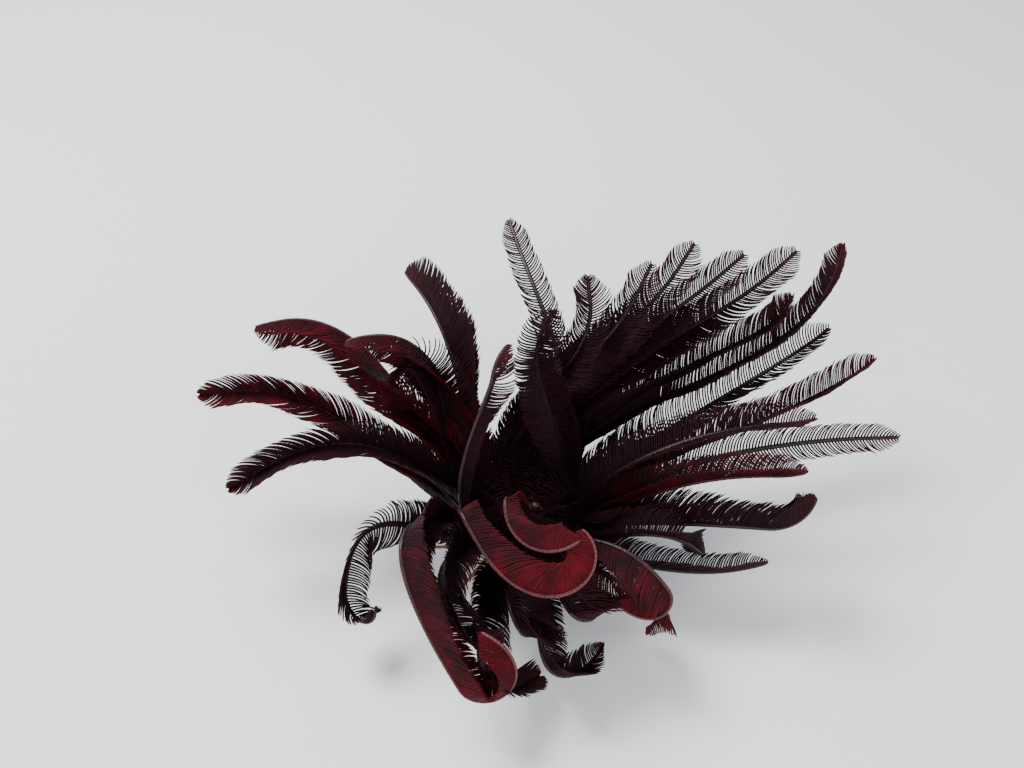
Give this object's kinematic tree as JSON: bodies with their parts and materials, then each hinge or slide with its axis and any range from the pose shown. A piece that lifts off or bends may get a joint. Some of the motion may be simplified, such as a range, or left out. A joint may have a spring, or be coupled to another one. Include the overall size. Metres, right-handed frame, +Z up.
{
  "type": "feather star",
  "caption": "Feather star standing on its cirri, with a bowl of comb-like arms, long ones fanned to one side and short ones curled at the front.",
  "frame": {"origin": "centre of the whole outline seen from above, on the floor under the cirri", "axes": "+X towards the long fan of arms, +Y away from the camera, +Z up"},
  "size_m": [0.218, 0.1532, 0.0977],
  "materials": {
    "dark_maroon_arm": "matt, near-black maroon",
    "red_arm": "matt, deep red",
    "ray_base_pinkish": "matt, pinkish brown",
    "cirrus_horn": "horny, slightly shiny, orange brown",
    "oral_disc_skin": "leathery, damp"
  },
  "bodies": {
    "root": {"arm_a0": "dark_maroon_arm", "arm_a1": "dark_maroon_arm", "arm_a2": "dark_maroon_arm", "arm_a3": "dark_maroon_arm", "arm_a4": "dark_maroon_arm", "arm_a5": "dark_maroon_arm", "arm_a5_end": "dark_maroon_arm", "arm_a6": "dark_maroon_arm", "arm_a6_end": "dark_maroon_arm", "arm_a7": "dark_maroon_arm", "arm_b1": "dark_maroon_arm", "arm_b1_end": "dark_maroon_arm", "arm_b2": "dark_maroon_arm", "arm_b2_end": "dark_maroon_arm", "arm_b3": "dark_maroon_arm", "arm_b4": "dark_maroon_arm", "arm_b5": "dark_maroon_arm", "arm_b6": "dark_maroon_arm", "arm_b7": "dark_maroon_arm", "arm_b7_end": "dark_maroon_arm", "arm_c1": "dark_maroon_arm", "arm_c2": "dark_maroon_arm", "arm_c2_end": "dark_maroon_arm", "arm_c3": "dark_maroon_arm", "arm_c3_end": "dark_maroon_arm", "arm_c4": "dark_maroon_arm", "arm_c4_end": "dark_maroon_arm", "arm_c5": "dark_maroon_arm", "arm_c5_end": "dark_maroon_arm", "arm_c6": "dark_maroon_arm", "arm_c7": "dark_maroon_arm", "arm_c8": "dark_maroon_arm", "arm_d1": "dark_maroon_arm", "arm_d1_end": "dark_maroon_arm", "arm_d2": "red_arm", "arm_d2_end": "red_arm", "arm_d3": "red_arm", "arm_d3_end": "red_arm", "arm_d4": "dark_maroon_arm", "arm_d5": "dark_maroon_arm", "arm_d5_end": "dark_maroon_arm", "arm_d6": "dark_maroon_arm", "arm_e1": "dark_maroon_arm", "arm_e1_end": "dark_maroon_arm", "arm_e2": "red_arm", "arm_e2_end": "red_arm", "arm_e3": "red_arm", "arm_e3_end": "red_arm", "arm_e4": "dark_maroon_arm", "arm_e4_end": "dark_maroon_arm", "arm_e5": "dark_maroon_arm", "arm_e6": "dark_maroon_arm", "arm_e7": "dark_maroon_arm", "centrodorsal_cirri": "cirrus_horn", "oral_disc": "oral_disc_skin", "ray_base_a": "ray_base_pinkish", "ray_base_b": "ray_base_pinkish", "ray_base_c": "ray_base_pinkish", "ray_base_d": "ray_base_pinkish", "ray_base_e": "ray_base_pinkish"}
  },
  "joints": []
}
